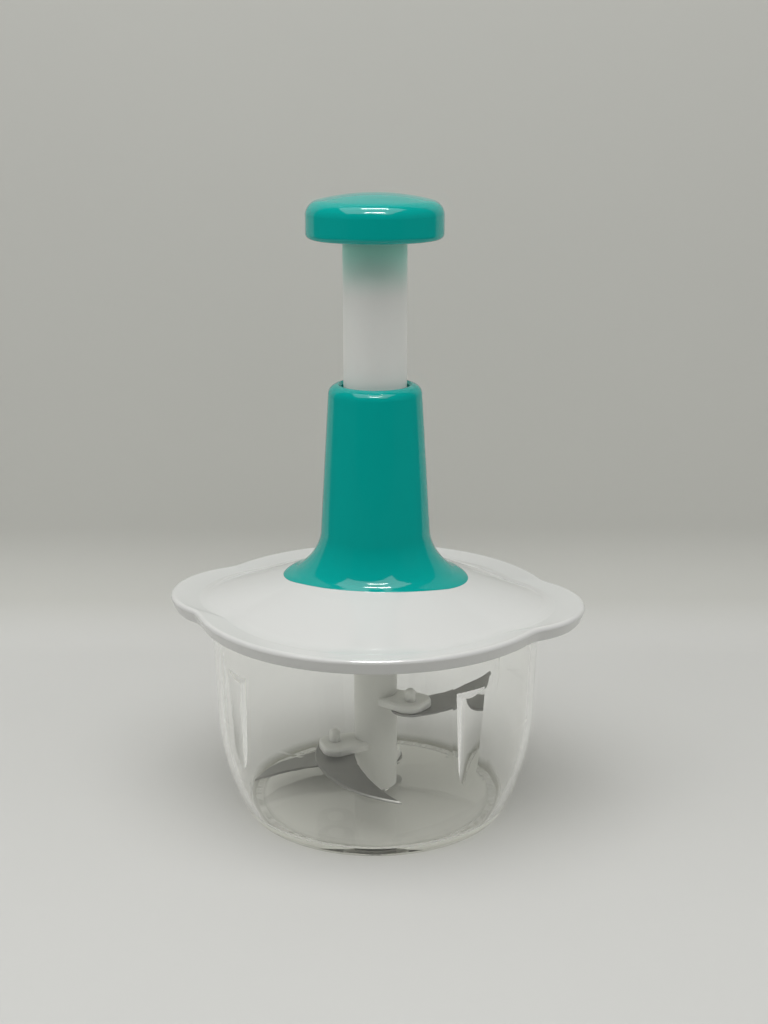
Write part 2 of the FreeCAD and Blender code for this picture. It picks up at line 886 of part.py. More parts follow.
def flared_foot(name, shrink):
    """Foot of the grip: a circle at the top and ovals that widen like a trumpet below it."""
    steps = 10
    long_full = 0.92
    short_full = 0.83
    start_bend = 1.91
    end_bend = 0.67

    def spread(level, full):
        reach = min(level / full, 1.0)
        return 1.0 - (1.0 - reach ** start_bend) ** end_bend

    drop = grip_low_height - foot_height
    ring = doc.addObject("Part::Circle", name + "_0")
    bind(ring, "Radius", grip_low_radius - shrink)
    bind(ring, "Placement.Base.z", grip_low_height)
    levels = [ring]
    for index in range(1, steps + 1):
        level = 1.0 - (1.0 - index / steps) ** 1.5
        long_reach = (foot_long - grip_low_radius) * spread(level, long_full)
        short_reach = (foot_short - grip_low_radius) * spread(level, short_full)
        oval = doc.addObject("Part::Ellipse", f"{name}_{index}")
        bind(oval, "MajorRadius", grip_low_radius + long_reach - shrink)
        bind(oval, "MinorRadius", grip_low_radius + short_reach - shrink)
        bind(oval, "Placement.Base.z", grip_low_height - drop * level)
        levels.append(oval)
    foot = doc.addObject("Part::Loft", name)
    foot.Sections = levels
    foot.Solid = True
    foot.Ruled = False
    doc.recompute()
    return foot


def make_grip():
    slope = (grip_low_radius - grip_top_radius) / (grip_top - grip_low_height)
    inner_top = grip_top - s.grip_roof

    def column_radius(height):
        return grip_top_radius + (grip_top - height) * slope

    shoulder = grip_top - s.grip_round
    rim = grip_top - s.grip_crown
    outside = new_body("grip_column")
    turn_profile(outside, "grip_column_turned", [
        (0, grip_low_height),
        (grip_low_radius, grip_low_height),
        (column_radius(shoulder), shoulder, s.grip_round, 1),
        (column_radius(shoulder) - s.grip_rim_inset, rim),
        (grip_mouth_radius + s.grip_mouth_bevel, rim),
        (grip_mouth_radius, rim - s.grip_mouth_bevel),
        (grip_mouth_radius, inner_top),
        (0, inner_top),
    ])
    bore = new_body("grip_bore")
    turn_profile(bore, "grip_bore_turned", [
        (0, grip_low_height),
        (grip_low_radius - s.grip_wall, grip_low_height),
        (column_radius(sleeve_top) - s.grip_wall, sleeve_top),
        (grip_mouth_radius, sleeve_top),
        (grip_mouth_radius, inner_top + s.overlap),
        (0, inner_top + s.overlap),
    ])
    flare = flared_foot("grip_flare", 0.0)
    flare_inside = flared_foot("grip_flare_inside", s.grip_wall)
    posts = new_body("grip_posts")
    posts.AllowCompound = True
    low = dome_height(grip_screw_radius + s.grip_boss_radius) - s.overlap
    post = raise_profile(posts, "grip_post",
                         lambda k: circle(k, grip_screw_radius, 0, s.grip_boss_radius),
                         low, grip_seat_height + s.screw_length + s.grip_hole_spare - low)
    repeat_round(posts, "grip_posts_round", [post], s.grip_screw_count)
    holes = new_body("grip_post_holes")
    holes.AllowCompound = True
    hole = raise_profile(holes, "grip_post_hole",
                         lambda k: circle(k, grip_screw_radius, 0, s.screw_radius),
                         grip_seat_height, s.screw_length)
    repeat_round(holes, "grip_holes_round", [hole], s.grip_screw_count)
    under = new_body("grip_under")
    far = foot_long + s.post_radius
    deep = lid_edge_height
    turn_profile(under, "grip_under_turned", [
        (0, deep),
        (far, deep),
        (far, dome_mid_height - (far - s.dome_mid_radius) * ear_slope),
        (s.dome_mid_radius, dome_mid_height),
        (turret_outer_radius, turret_height),
        (0, turret_height),
    ])
    hollow = boolean("Cut", "grip_hollow", fused("grip_inside", [bore, flare_inside]), posts)
    walls = boolean("Cut", "grip_walls", fused("grip_outside", [outside, flare]), hollow)
    drilled = boolean("Cut", "grip_drilled", walls, holes)
    keep(boolean("Cut", "grip_trimmed", drilled, under), "handle_shell")


def make_sleeve():
    body = new_body("guide_sleeve")
    bearing = s.tube_radius + s.slide_gap
    turn_profile(body, "sleeve_turned", [
        (sleeve_inner_radius, turret_height),
        (sleeve_radius, turret_height),
        (sleeve_radius, sleeve_top),
        (bearing, sleeve_top),
        (bearing, collar_rest),
        (sleeve_inner_radius, collar_rest),
    ])
    half = s.key_width * 0.5 + s.sleeve_gap
    reach = sleeve_radius + s.overlap

    def slot(sketch):
        outline(sketch, [(-half, -reach), (half, -reach), (half, reach), (-half, reach)])

    slot_bottom = turret_height + s.overlap
    cut_profile(body, "sleeve_slots", slot, slot_bottom, collar_rest - slot_bottom)
    keep(body)


# Plunger and knob

def bar_section(sketch, gap):
    half_wide = s.bar_width * 0.5 + gap
    half_thick = s.bar_thickness * 0.5 + gap
    outline(sketch, [(-half_wide, -half_thick), (half_wide, -half_thick),
                     (half_wide, half_thick), (-half_wide, half_thick)])


def make_plunger():
    body = new_body("plunger_tube")
    turn_profile(body, "tube_turned", [
        (tube_bore, tube_bottom),
        (collar_radius, tube_bottom),
        (collar_radius, collar_rest),
        (s.tube_radius, collar_rest),
        (s.tube_radius, tube_top),
        (0, tube_top),
        (0, plug_floor),
        (tube_bore, plug_floor),
    ])
    half = s.key_width * 0.5
    key_bottom = tube_bore + s.key_root

    def keys(sketch):
        outline(sketch, [(-half, key_bottom), (half, key_bottom),
                         (half, key_reach), (-half, key_reach)])

    key = raise_profile(body, "tube_key", keys, tube_bottom, s.collar_height)
    repeat_round(body, "tube_keys", [key], 2)
    cut_profile(body, "bar_slot", lambda k: bar_section(k, s.slide_gap), plug_floor,
                s.tube_plug)
    hole = cut_profile(body, "tube_screw_hole",
                       lambda k: circle(k, 0, s.knob_screw_circle, s.screw_radius),
                       plug_floor, s.tube_plug)
    repeat_round(body, "tube_screw_holes", [hole], s.knob_screw_count)
    keep(body)


def make_knob():
    base = new_body("knob_base")
    seat = s.tube_radius + s.slide_gap
    lip = s.knob_radius - s.knob_wall
    edge = knob_seam - knob_bottom - s.knob_band
    turn_profile(base, "base_turned", [
        (seat, knob_bottom),
        (s.knob_radius - edge, knob_bottom, edge, 1),
        (s.knob_radius, knob_bottom + edge),
        (s.knob_radius, knob_seam),
        (lip, knob_seam),
        (lip, knob_bottom + s.knob_wall),
        (seat + s.knob_boss, knob_bottom + s.knob_wall),
        (seat + s.knob_boss, knob_seam),
        (0, knob_seam),
        (0, tube_top),
        (seat, tube_top),
    ])
    cut_profile(base, "base_slot", lambda k: bar_section(k, s.slide_gap), tube_top,
                knob_seam - tube_top)
    hole = cut_profile(base, "base_screw_hole",
                       lambda k: circle(k, 0, s.knob_screw_circle,
                                        s.screw_radius + s.screw_gap),
                       tube_top, knob_seam - tube_top)
    repeat_round(base, "base_screw_holes", [hole], s.knob_screw_count)
    keep(base)
    spigot = lip - s.snap_gap
    inner = spigot - s.knob_wall
    side_round = knob_crown_height - knob_shoulder + s.knob_side_bulge
    rise = knob_top - knob_crown_height
    crown = (knob_crown_radius * knob_crown_radius + rise * rise) / (rise * 2.0)
    turned("knob_cap", [
        (s.knob_radius, knob_seam),
        (s.knob_radius, knob_shoulder, side_round, 1),
        (knob_crown_radius, knob_crown_height, crown, 1),
        (0, knob_top),
        (0, knob_top - s.knob_wall),
        (knob_crown_radius - s.knob_crown_wall, knob_crown_height - s.knob_crown_wall),
        (inner, knob_shoulder),
        (inner, knob_seam - s.knob_spigot),
        (spigot, knob_seam - s.knob_spigot),
        (spigot, knob_seam),
    ])


def screws(label, circle_radius, count, head_low, point_up):
    """A ring of equal screws. Their heads start at head_low, the shanks point up or down."""
    body = new_body(label)
    body.AllowCompound = True
    if point_up:
        levels = [head_low, head_low + s.screw_head, head_low + s.screw_head + s.screw_length]
    else:
        levels = [head_low + s.screw_head, head_low, head_low - s.screw_length]
    corners = [
        (0, levels[0]),
        (s.screw_head_radius, levels[0]),
        (s.screw_head_radius, levels[1]),
        (s.screw_radius, levels[1]),
        (s.screw_radius, levels[2]),
        (0, levels[2]),
    ]
    if not point_up:
        corners.reverse()
    screw = turn_profile(body, label + "_turned", corners, shift=circle_radius)
    repeat_round(body, label + "_round", [screw], count)
    keep(body)
    return body


def make_screws():
    screws("handle_screws", grip_screw_radius, s.grip_screw_count,
           grip_seat_height - s.screw_head, True)
    screws("inner_plate_screws", s.plate_screw_circle, s.plate_screw_count,
           plug_bottom - s.screw_head, True)
    knob = screws("knob_screws", s.knob_screw_circle, s.knob_screw_count, knob_seam, False)
    turn_body(knob, as_size(90.0))


# Drive

def twisted_bar(width, thickness, bottom, top, lead):
    """Flat bar that turns clockwise, seen from above, on its way up: one turn in each lead."""
    turn_per_step = 30.0
    step = lead * turn_per_step / 360.0
    count = int(round((top - bottom) / step))
    sections = []
    for index in range(count + 1):
        height = bottom + (top - bottom) * index / count
        angle = -360.0 * (height - bar_bottom.value) / lead
        x, y = width / 2, thickness / 2
        corners = [Vector(-x, -y, 0), Vector(x, -y, 0), Vector(x, y, 0), Vector(-x, y, 0)]
        section = Part.makePolygon(corners + corners[:1])
        section.rotate(Vector(0, 0, 0), Vector(0, 0, 1), angle)
        section.translate(Vector(0, 0, height))
        sections.append(section)
    return Part.makeLoft(sections, True, False)


def make_bar():
    twist_top = bar_bottom.value + s.lead.value * s.bar_turns.value
    twisted = twisted_bar(s.bar_width.value, s.bar_thickness.value, bar_bottom.value,
                          twist_top, s.lead.value)
    shank = Part.makeBox(s.bar_width.value, s.bar_thickness.value, knob_seam.value - twist_top,
                         Vector(-s.bar_width.value / 2, -s.bar_thickness.value / 2, twist_top))
    head = Part.makeCylinder(s.bar_head_radius.value, s.bar_head.value,
                             Vector(0, 0, knob_seam.value))
    bar = doc.addObject("Part::Feature", "twisted_rod")
    bar.Shape = twisted.fuse([shank, head])
    keep(bar, "twisted_rod")


def hexagon(sketch, flats):
    half = flats * 0.5
    corner = flats / math.sqrt(3.0)
    outline(sketch, [(corner, 0), (corner * 0.5, half), (-corner * 0.5, half),
                     (-corner, 0), (-corner * 0.5, -half), (corner * 0.5, -half)])


def make_drive():
    hub = new_body("drive_hub")
    turn_profile(hub, "hub_turned", [
        (s.hub_bore, hub_bottom),
        (s.hub_radius, hub_bottom),
        (s.hub_radius, flange_bottom),
        (hub_flange_radius, flange_bottom),
        (hub_flange_radius, flange_top),
        (s.hub_bore, flange_top),
    ])
    cut_profile(hub, "hub_socket", lambda k: hexagon(k, s.head_flats + s.head_gap),
                hub_bottom, head_top + s.head_gap - hub_bottom)
    tooth = saw_tooth(hub, "hub_tooth", flange_top, s.tooth_height, -1.0)
    repeat_round(hub, "hub_teeth", [tooth], s.teeth)
    keep(hub)

    nut = new_body("drive_nut_blank")
    turn_profile(nut, "nut_turned", [
        (0, nut_bottom),
        (nut_radius, nut_bottom),
        (nut_radius, nut_top),
        (0, nut_top),
    ])
    tooth = saw_tooth(nut, "nut_tooth", nut_bottom, -s.tooth_height, 1.0)
    repeat_round(nut, "nut_teeth", [tooth], s.teeth)
    slot = doc.addObject("Part::Feature", "drive_nut_slot_twisted")
    gap = s.slide_gap.value * 4.0
    low = (bar_bottom + s.overlap).value
    turns = math.ceil((nut_top + s.overlap - low).value / s.lead.value * 12.0) / 12.0
    slot.Shape = twisted_bar(s.bar_width.value + gap, s.bar_thickness.value + gap, low,
                             low + turns * s.lead.value, s.lead.value)
    keep(boolean("Cut", "drive_nut_cut", nut, slot), "drive_nut")


def saw_tooth(body, name, base, rise, side):
    """Tooth that stands on base, or hangs below it, with its steep face towards x = 0."""
    sketch = new_sketch(body, "XZ_Plane", name + "_sketch", lift=tooth_ring)
    width = tooth_ring * s.tooth_share * (2.0 * math.pi) / s.teeth
    near = s.turn_gap * side
    far = near + width * side
    sunk = base - rise * 0.5
    outline(sketch, [(far, base), (far, sunk), (near, sunk), (near, base + rise)])
    pad = body.newObject("PartDesign::Pad", name)
    pad.Profile = sketch
    bind(pad, "Length", nut_radius - tooth_ring - s.tooth_inset)
    return finish_feature(body, pad)


# Return spring

def biarc(start, start_way, end, end_way):
    """Two arcs that leave start and reach end along the given ways."""
    gap = end - start
    ways = start_way + end_way
    share = 2.0 * (1.0 - start_way.dot(end_way))
    along = gap.dot(ways)
    reach = (math.sqrt(along ** 2 + share * gap.dot(gap)) - along) / share
    first = start + start_way * reach
    second = end - end_way * reach
    joint = (first + second) * 0.5
    arcs = []
    for low, corner, high in ((start, first, joint), (joint, second, end)):
        middle = (low + high) * 0.5
        half_turn = (middle - low).Length / reach
        top = middle + (corner - middle) * (half_turn / (1.0 + half_turn))
        arcs.append(Part.Arc(low, top, high).toShape())
    return arcs


def make_spring():
    wire = s.spring_wire.value
    radius = spring_radius.value
    low = (spring_seat + s.end_gap).value + wire / 2
    high = (plug_floor - s.end_gap).value - wire / 2
    quarters = int(round(s.spring_turns.value * 4))
    pitch = (high - low) / s.spring_turns.value

    def place(step):
        angle = math.pi / 2 * step
        return Vector(radius * math.cos(angle), radius * math.sin(angle),
                      low + pitch * step / 4)

    def way(step):
        angle = math.pi / 2 * step
        turn = Vector(-radius * math.sin(angle), radius * math.cos(angle), pitch / math.tau)
        return turn.normalize()

    edges = []
    for step in range(quarters):
        edges.extend(biarc(place(step), way(step), place(step + 1), way(step + 1)))
    path = Part.Wire(edges)
    section = Part.Wire([Part.makeCircle(wire / 2, place(0), way(0))])
    shell = Part.BRepOffsetAPI.MakePipeShell(path)
    shell.add(section)
    shell.build()
    shell.makeSolid()
    spring = doc.addObject("Part::Feature", "return_spring")
    spring.Shape = shell.shape()
    length = path.Length
    print("spring wire length", round(length, 1), "volume over section times length",
          round(spring.Shape.Volume / (math.pi * wire ** 2 / 4 * length), 4),
          "gap between turns", round(pitch - wire, 2))
    keep(spring, "return_spring")


# Blade set

def lobe_outline(sketch):
    """Lobe along X that carries a blade under it."""
    r, neck, far = s.lobe_radius, s.lobe_neck, s.peg_circle
    outline(sketch, [
        (0, -neck),
        (far, -r - s.lobe_trail, r, 1),
        (far + r, -s.lobe_trail),
        (far + r, s.lobe_lead, r, 1),
        (far, s.lobe_lead + r),
        (0, neck),
    ])


def make_shaft():
    body = new_body("blade_shaft")
    turn_profile(body, "shaft_turned", [
        (0, shaft_bottom),
        (s.shaft_low_radius, shaft_bottom),
        (s.shaft_top_radius, head_bottom),
        (0, head_bottom),
    ])
    raise_profile(body, "shaft_head", lambda k: hexagon(k, s.head_flats), head_bottom,
                  s.head_height)
    for name in ("lower", "middle", "upper"):
        height = blade_height(name) + s.blade_thickness
        angle = getattr(s, name + "_angle")
        sketch = new_sketch(body, "XY_Plane", name + "_lobe_sketch", lift=height)
        sketch.AttachmentOffset = FreeCAD.Placement(
            sketch.AttachmentOffset.Base, FreeCAD.Rotation(Vector(0, 0, 1), angle.value))
        bind(sketch, "AttachmentOffset.Base.z", height)
        bind(sketch, "AttachmentOffset.Rotation.Angle", angle)
        lobe_outline(sketch)
        pad = body.newObject("PartDesign::Pad", name + "_lobe")
        pad.Profile = sketch
        bind(pad, "Length", s.lobe_height)
        finish_feature(body, pad)
    tops = [(blade_height(n) + s.blade_thickness + s.lobe_height).value
            for n in ("lower", "middle", "upper")]
    lobe_start = (s.peg_circle - s.lobe_radius).value

    def lobe_rim(edge):
        on_top = any(all(abs(v.Point.z - top) < 0.01 for v in edge.Vertexes) for top in tops)
        centre = edge.BoundBox.Center
        return on_top and math.hypot(centre.x, centre.y) > lobe_start

    round_edges(body, "lobe_round", s.lobe_round, lobe_rim)
    cut_profile(body, "shaft_bar_bore", lambda k: circle(k, 0, 0, s.shaft_bore),
                shaft_bore_floor, head_top - shaft_bore_floor)
    cut_profile(body, "shaft_pivot_bore",
                lambda k: circle(k, 0, 0, pivot_radius + s.turn_gap),
                shaft_bottom, pin_top + s.head_gap - shaft_bottom)
    for name in ("lower", "middle", "upper"):
        height = blade_height(name) + s.blade_thickness
        x, y = peg_place(name)
        cut_profile(body, name + "_peg_hole", lambda k: circle(k, x, y, s.peg_radius),
                    height, s.lobe_height)
    keep(body)


def peg_place(name):
    angle = getattr(s, name + "_angle")
    return s.peg_circle * cosine(angle), s.peg_circle * sine(angle)


def make_blade(name):
    """Sickle that lies flat, drawn with its peg on X and then turned to its place."""
    height = blade_height(name)
    sweep = getattr(s, name + "_sweep")
    tip_radius = bowl_inner_radius(height) - s.rib_depth - s.blade_tip_gap
    tip_x, tip_y = tip_radius * cosine(sweep), tip_radius * sine(sweep)
    r = s.blade_root
    body = new_body(name + "_blade")
    peg_x = s.peg_circle
    inner, back, outer = s.blade_inner_angle, s.blade_back_angle, s.blade_outer_angle

    def sickle(sketch):
        outline(sketch, [
            (peg_x - r * cosine(inner), r * sine(inner), r, 1),
            (peg_x - r * sine(back), -r * cosine(back), r, 1),
            (peg_x + r * cosine(outer), -r * sine(outer), s.blade_belly, 1),
            (tip_x, tip_y, s.blade_hollow, -1),
        ])

    raise_profile(body, name + "_flat", sickle, height, s.blade_thickness)
    top = (height + s.blade_thickness).value
    belly = s.blade_belly.value

    def cutting_edge(edge):
        if edge.Curve.TypeId != "Part::GeomCircle":
            return False
        on_top = all(abs(v.Point.z - top) < 0.01 for v in edge.Vertexes)
        return on_top and abs(edge.Curve.Radius - belly) < 0.01

    round_edges(body, name + "_bevel", s.blade_bevel, cutting_edge, "Chamfer")
    cut_profile(body, name + "_blade_hole",
                lambda k: circle(k, peg_x, 0, s.peg_radius), height, s.blade_thickness)
    turn_body(body, getattr(s, name + "_angle"))
    keep(body)


def make_peg(name):
    height = blade_height(name)
    top = height + s.blade_thickness + s.lobe_height + s.peg_rise
    body = new_body(name + "_blade_peg")
    turn_profile(body, name + "_peg_turned", [
        (0, height - s.peg_head),
        (s.peg_head_radius, height - s.peg_head),
        (s.peg_head_radius, height),
        (s.peg_radius, height),
        (s.peg_radius, top - s.peg_radius, s.peg_radius, 1),
        (0, top),
    ], shift=s.peg_circle)
    turn_body(body, getattr(s, name + "_angle"))
    keep(body)


def check_travel():
    """The pressed plunger's bar and tube stay clear of what is below them."""
    if (bar_bottom - stroke).value <= shaft_bore_floor.value:
        raise RuntimeError("the bar reaches the floor of the shaft's bore")
    if (tube_bottom - stroke).value <= turret_height.value:
        raise RuntimeError("the tube reaches the nut cap")
    if (knob_bottom - stroke).value <= grip_top.value:
        raise RuntimeError("the knob reaches the grip")


def main():
    check_travel()
    make_bowl()
    make_pivot()
    make_lid()
    make_lid_fittings()
    make_grip()
    make_sleeve()
    make_plunger()
    make_knob()
    make_screws()
    make_bar()
    make_drive()
    make_spring()
    make_shaft()
    for name in ("upper", "middle", "lower"):
        make_blade(name)
        make_peg(name)
    doc.recompute()
    for item in doc.Objects:
        if "Invalid" in item.State or "Error" in item.State:
            raise RuntimeError(f"{item.Name} failed: {item.State}")
    for part in parts:
        if part.Shape.isNull() or not part.Shape.isValid():
            raise RuntimeError(f"{part.Label} has a bad shape")
    os.makedirs("parts", exist_ok=True)
    for part in parts:
        part.Shape.exportStep(f"parts/{part.Label}.step")
        print(part.Label, len(part.Shape.Solids), round(part.Shape.Volume, 1))


main()
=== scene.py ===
import math

import bmesh
import bpy
from bpy.props import FloatProperty, FloatVectorProperty, PointerProperty
from mathutils import Matrix, Vector


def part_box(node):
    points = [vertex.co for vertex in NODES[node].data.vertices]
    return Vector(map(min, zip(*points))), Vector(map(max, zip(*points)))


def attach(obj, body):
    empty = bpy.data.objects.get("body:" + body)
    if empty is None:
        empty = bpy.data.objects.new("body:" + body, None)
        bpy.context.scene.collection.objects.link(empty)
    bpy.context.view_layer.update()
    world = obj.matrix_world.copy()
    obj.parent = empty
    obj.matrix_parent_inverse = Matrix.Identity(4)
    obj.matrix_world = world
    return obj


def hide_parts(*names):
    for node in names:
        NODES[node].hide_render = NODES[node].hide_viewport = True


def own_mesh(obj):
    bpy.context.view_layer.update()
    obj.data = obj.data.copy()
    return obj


bl_info = {
    "name": "Plunger food chopper",
    "version": (1, 0, 0),
    "blender": (4, 5, 0),
    "location": "3D View > Sidebar > Chopper",
    "description": "Dresses the packed food chopper with finished pieces, materials and a studio",
    "category": "Object",
}

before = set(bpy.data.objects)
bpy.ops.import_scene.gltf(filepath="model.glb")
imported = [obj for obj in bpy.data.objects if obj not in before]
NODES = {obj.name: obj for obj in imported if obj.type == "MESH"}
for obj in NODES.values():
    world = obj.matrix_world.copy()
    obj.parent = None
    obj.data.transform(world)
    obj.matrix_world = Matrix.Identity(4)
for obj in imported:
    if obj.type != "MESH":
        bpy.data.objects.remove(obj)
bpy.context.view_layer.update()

# Fixed measures of the finishes, in metres
# Ring of the bowl's foot that gets the darker tint with painted shade
FOOT_TOP = 0.0055
FOOT_INNER_RADIUS = 0.0520
FOOT_OUTER_RADIUS = 0.0550
# Band at the top of the tube that carries painted shade and painted green bounce light from the
# knob
TUBE_SHADE_START = 0.026
TUBE_SHADE_END = 0.002
WELD_DISTANCE = 0.000002
SMOOTH_ANGLE = math.radians(40.0)

# Fixed measures of the stage, in metres
PAPER_FRONT = -0.40
PAPER_HALF_WIDTH = 0.5
PAPER_TOP = 1.6
BEND_RADIUS = 0.06
BEND_START = 0.19
BEND_STEPS = 12
# Height over which the painted shade of the wall comes in
WALL_SHADE_RISE = 0.018
SCREEN_HALF_WIDTH = 0.9
SCREEN_HEIGHT = 1.0
SCREEN_PLACE = -0.95

# Settings that a user would change


class ChopperColours(bpy.types.PropertyGroup):
    """Colours of the chopper's finishes."""

    grip: FloatVectorProperty(
        name="Grip green", description="Glossy plastic of the grip and the knob",
        default=(0.001, 0.355, 0.318), min=0.0, max=1.0, size=3, subtype="COLOR")
    lid: FloatVectorProperty(
        name="Lid white", description="Glossy plastic of the lid",
        default=(0.66, 0.66, 0.645), min=0.0, max=1.0, size=3, subtype="COLOR")
    shaft: FloatVectorProperty(
        name="Shaft white", description="Satin plastic of the tube and the blade shaft",
        default=(0.73, 0.735, 0.705), min=0.0, max=1.0, size=3, subtype="COLOR")
    # Partly the knob's green plug seen through the tube, partly painted shade and painted green
    # bounce light under the knob
    tube_end_green_and_shade: FloatVectorProperty(
        name="Tube end", description="Knob green that shows through the top of the tube",
        default=(0.37, 0.70, 0.60), min=0.0, max=1.0, size=3, subtype="COLOR")
    bowl: FloatVectorProperty(
        name="Bowl tint", description="Light that the clear bowl lets through",
        default=(0.994, 0.996, 0.988), min=0.0, max=1.0, size=3, subtype="COLOR")
    # Greenish tint of the thick plastic, darkened further as painted shade where the foot stands
    # on the floor
    foot: FloatVectorProperty(
        name="Foot tint", description="Light that the thick foot of the bowl lets through",
        default=(0.22, 0.22, 0.17), min=0.0, max=1.0, size=3, subtype="COLOR")
    blade: FloatVectorProperty(
        name="Blade steel", description="Brushed steel of the blades",
        default=(0.29, 0.29, 0.28), min=0.0, max=1.0, size=3, subtype="COLOR")
    bright_steel: FloatVectorProperty(
        name="Bright steel", description="Steel of screws, pin, twisted bar and spring",
        default=(0.62, 0.63, 0.64), min=0.0, max=1.0, size=3, subtype="COLOR")
    bearing: FloatVectorProperty(
        name="Bearing grey", description="Acetal of the bushes",
        default=(0.62, 0.62, 0.60), min=0.0, max=1.0, size=3, subtype="COLOR")
    seal: FloatVectorProperty(
        name="Seal white", description="Soft rubber of the seal ring",
        default=(0.74, 0.74, 0.72), min=0.0, max=1.0, size=3, subtype="COLOR")


class ChopperSizes(bpy.types.PropertyGroup):
    """Sizes of the fine detail that the finishes carry."""

    ripple: FloatProperty(
        name="Moulding ripple", description="Width of the faint waves in glossy plastic",
        default=0.006, min=0.001, max=0.05, unit="LENGTH")
    grain: FloatProperty(
        name="Steel grain", description="Spacing of the brush lines in the steel",
        default=0.0004, min=0.00005, max=0.005, unit="LENGTH")


class ChopperStage(bpy.types.PropertyGroup):
    """The studio around the chopper."""

    camera_distance: FloatProperty(
        name="Camera distance", description="Level distance from the camera to the axis",
        default=0.640, min=0.1, max=5.0, unit="LENGTH")
    camera_height: FloatProperty(
        name="Camera height", description="Height of the camera above the floor",
        default=0.3185, min=0.0, max=5.0, unit="LENGTH")
    camera_angle: FloatProperty(
        name="Camera angle", description="Turn of the camera about the upright axis",
        default=math.radians(9.0), min=-math.pi, max=math.pi, unit="ROTATION")
    camera_pitch: FloatProperty(
        name="Camera pitch", description="How far the camera looks down",
        default=math.radians(15.63), min=-math.pi, max=math.pi, unit="ROTATION")
    camera_yaw: FloatProperty(
        name="Camera yaw", description="How far the camera looks past the axis",
        default=math.radians(0.348), min=-math.pi, max=math.pi, unit="ROTATION")
    camera_lens: FloatProperty(
        name="Camera lens", description="Focal length in millimetres on a 36 mm sensor",
        default=52.03, min=10.0, max=300.0)
    floor_colour: FloatVectorProperty(
        name="Floor colour", description="Pale grey of the floor",
        default=(0.61, 0.61, 0.593), min=0.0, max=1.0, size=3, subtype="COLOR")
    # The wall is the same paper as the floor; its darker grey is painted shade
    wall_shade_colour: FloatVectorProperty(
        name="Wall colour", description="Grey of the backdrop behind the chopper",
        default=(0.54, 0.54, 0.508), min=0.0, max=1.0, size=3, subtype="COLOR")


# Shared parts of the materials

def new_material(name):
    """An empty material with its output and a Principled shader."""
    material = bpy.data.materials.new(name)
    material.use_nodes = True
    tree = material.node_tree
    tree.nodes.clear()
    output = tree.nodes.new("ShaderNodeOutputMaterial")
    output.location = (600, 0)
    shader = tree.nodes.new("ShaderNodeBsdfPrincipled")
    shader.location = (300, 0)
    tree.links.new(shader.outputs["BSDF"], output.inputs["Surface"])
    return material, tree, shader


def start_group(name, inputs, outputs):
    """A node group with named sockets; its inputs carry their defaults."""
    group = bpy.data.node_groups.new(name, "ShaderNodeTree")
    for label, kind, default in inputs:
        socket = group.interface.new_socket(label, in_out="INPUT", socket_type=kind)
        socket.default_value = default
    for label, kind in outputs:
        group.interface.new_socket(label, in_out="OUTPUT", socket_type=kind)
    entry = group.nodes.new("NodeGroupInput")
    leave = group.nodes.new("NodeGroupOutput")
    entry.location = (-800, 0)
    leave.location = (500, 0)
    return group, entry, leave


def maths(tree, operation, first, second, clamp=False):
    """A maths node on two values, each a socket or a number; gives its result."""
    node = tree.nodes.new("ShaderNodeMath")
    node.operation = operation
    node.use_clamp = clamp
    for socket, value in zip(node.inputs, (first, second)):
        if isinstance(value, bpy.types.NodeSocket):
            tree.links.new(value, socket)
        else:
            socket.default_value = value
    return node.outputs[0]


def ranged(tree, value, start, end, low=0.0, high=1.0, curve="LINEAR"):
    """Take a value between start and end to one between low and high."""
    node = tree.nodes.new("ShaderNodeMapRange")
    node.interpolation_type = curve
    node.inputs["From Min"].default_value = start
    node.inputs["From Max"].default_value = end
    node.inputs["To Min"].default_value = low
    node.inputs["To Max"].default_value = high
    tree.links.new(value, node.inputs["Value"])
    return node.outputs[0]


def blended(tree, factor, first, second):
    """Blend two plain colours by a factor socket."""
    node = tree.nodes.new("ShaderNodeMix")
    node.data_type = "RGBA"
    tree.links.new(factor, node.inputs["Factor"])
    node.inputs[6].default_value = (*first, 1.0)
    node.inputs[7].default_value = (*second, 1.0)
    return node.outputs[2]


def scaled(tree, colour, factor):
    """Multiply a colour socket by a value socket."""
    node = tree.nodes.new("ShaderNodeVectorMath")
    node.operation = "SCALE"
    tree.links.new(colour, node.inputs[0])
    tree.links.new(factor, node.inputs["Scale"])
    return node.outputs[0]


def object_place(tree):
    """The point in the object's own frame, and its height."""
    place = tree.nodes.new("ShaderNodeTexCoord").outputs["Object"]
    split = tree.nodes.new("ShaderNodeSeparateXYZ")
    tree.links.new(place, split.inputs[0])
    return place, split.outputs["Z"]


def wear(tree, shader, finish, values):
    """Put a shared finish on a shader, with the values that this material gives it."""
    for name, value in values.items():
        finish.inputs[name].default_value = value
    tree.links.new(finish.outputs["Colour"], shader.inputs["Base Color"])
    tree.links.new(finish.outputs["Roughness"], shader.inputs["Roughness"])
    tree.links.new(finish.outputs["Normal"], shader.inputs["Normal"])


def mixed(tree, factor, first, second, output):
    """Mix two shaders by a factor socket into an output node."""
    mix = tree.nodes.new("ShaderNodeMixShader")
    mix.location = (450, 0)
    tree.links.new(factor, mix.inputs["Fac"])
    tree.links.new(first, mix.inputs[1])
    tree.links.new(second, mix.inputs[2])
    tree.links.new(mix.outputs[0], tree.nodes[output].inputs["Surface"])


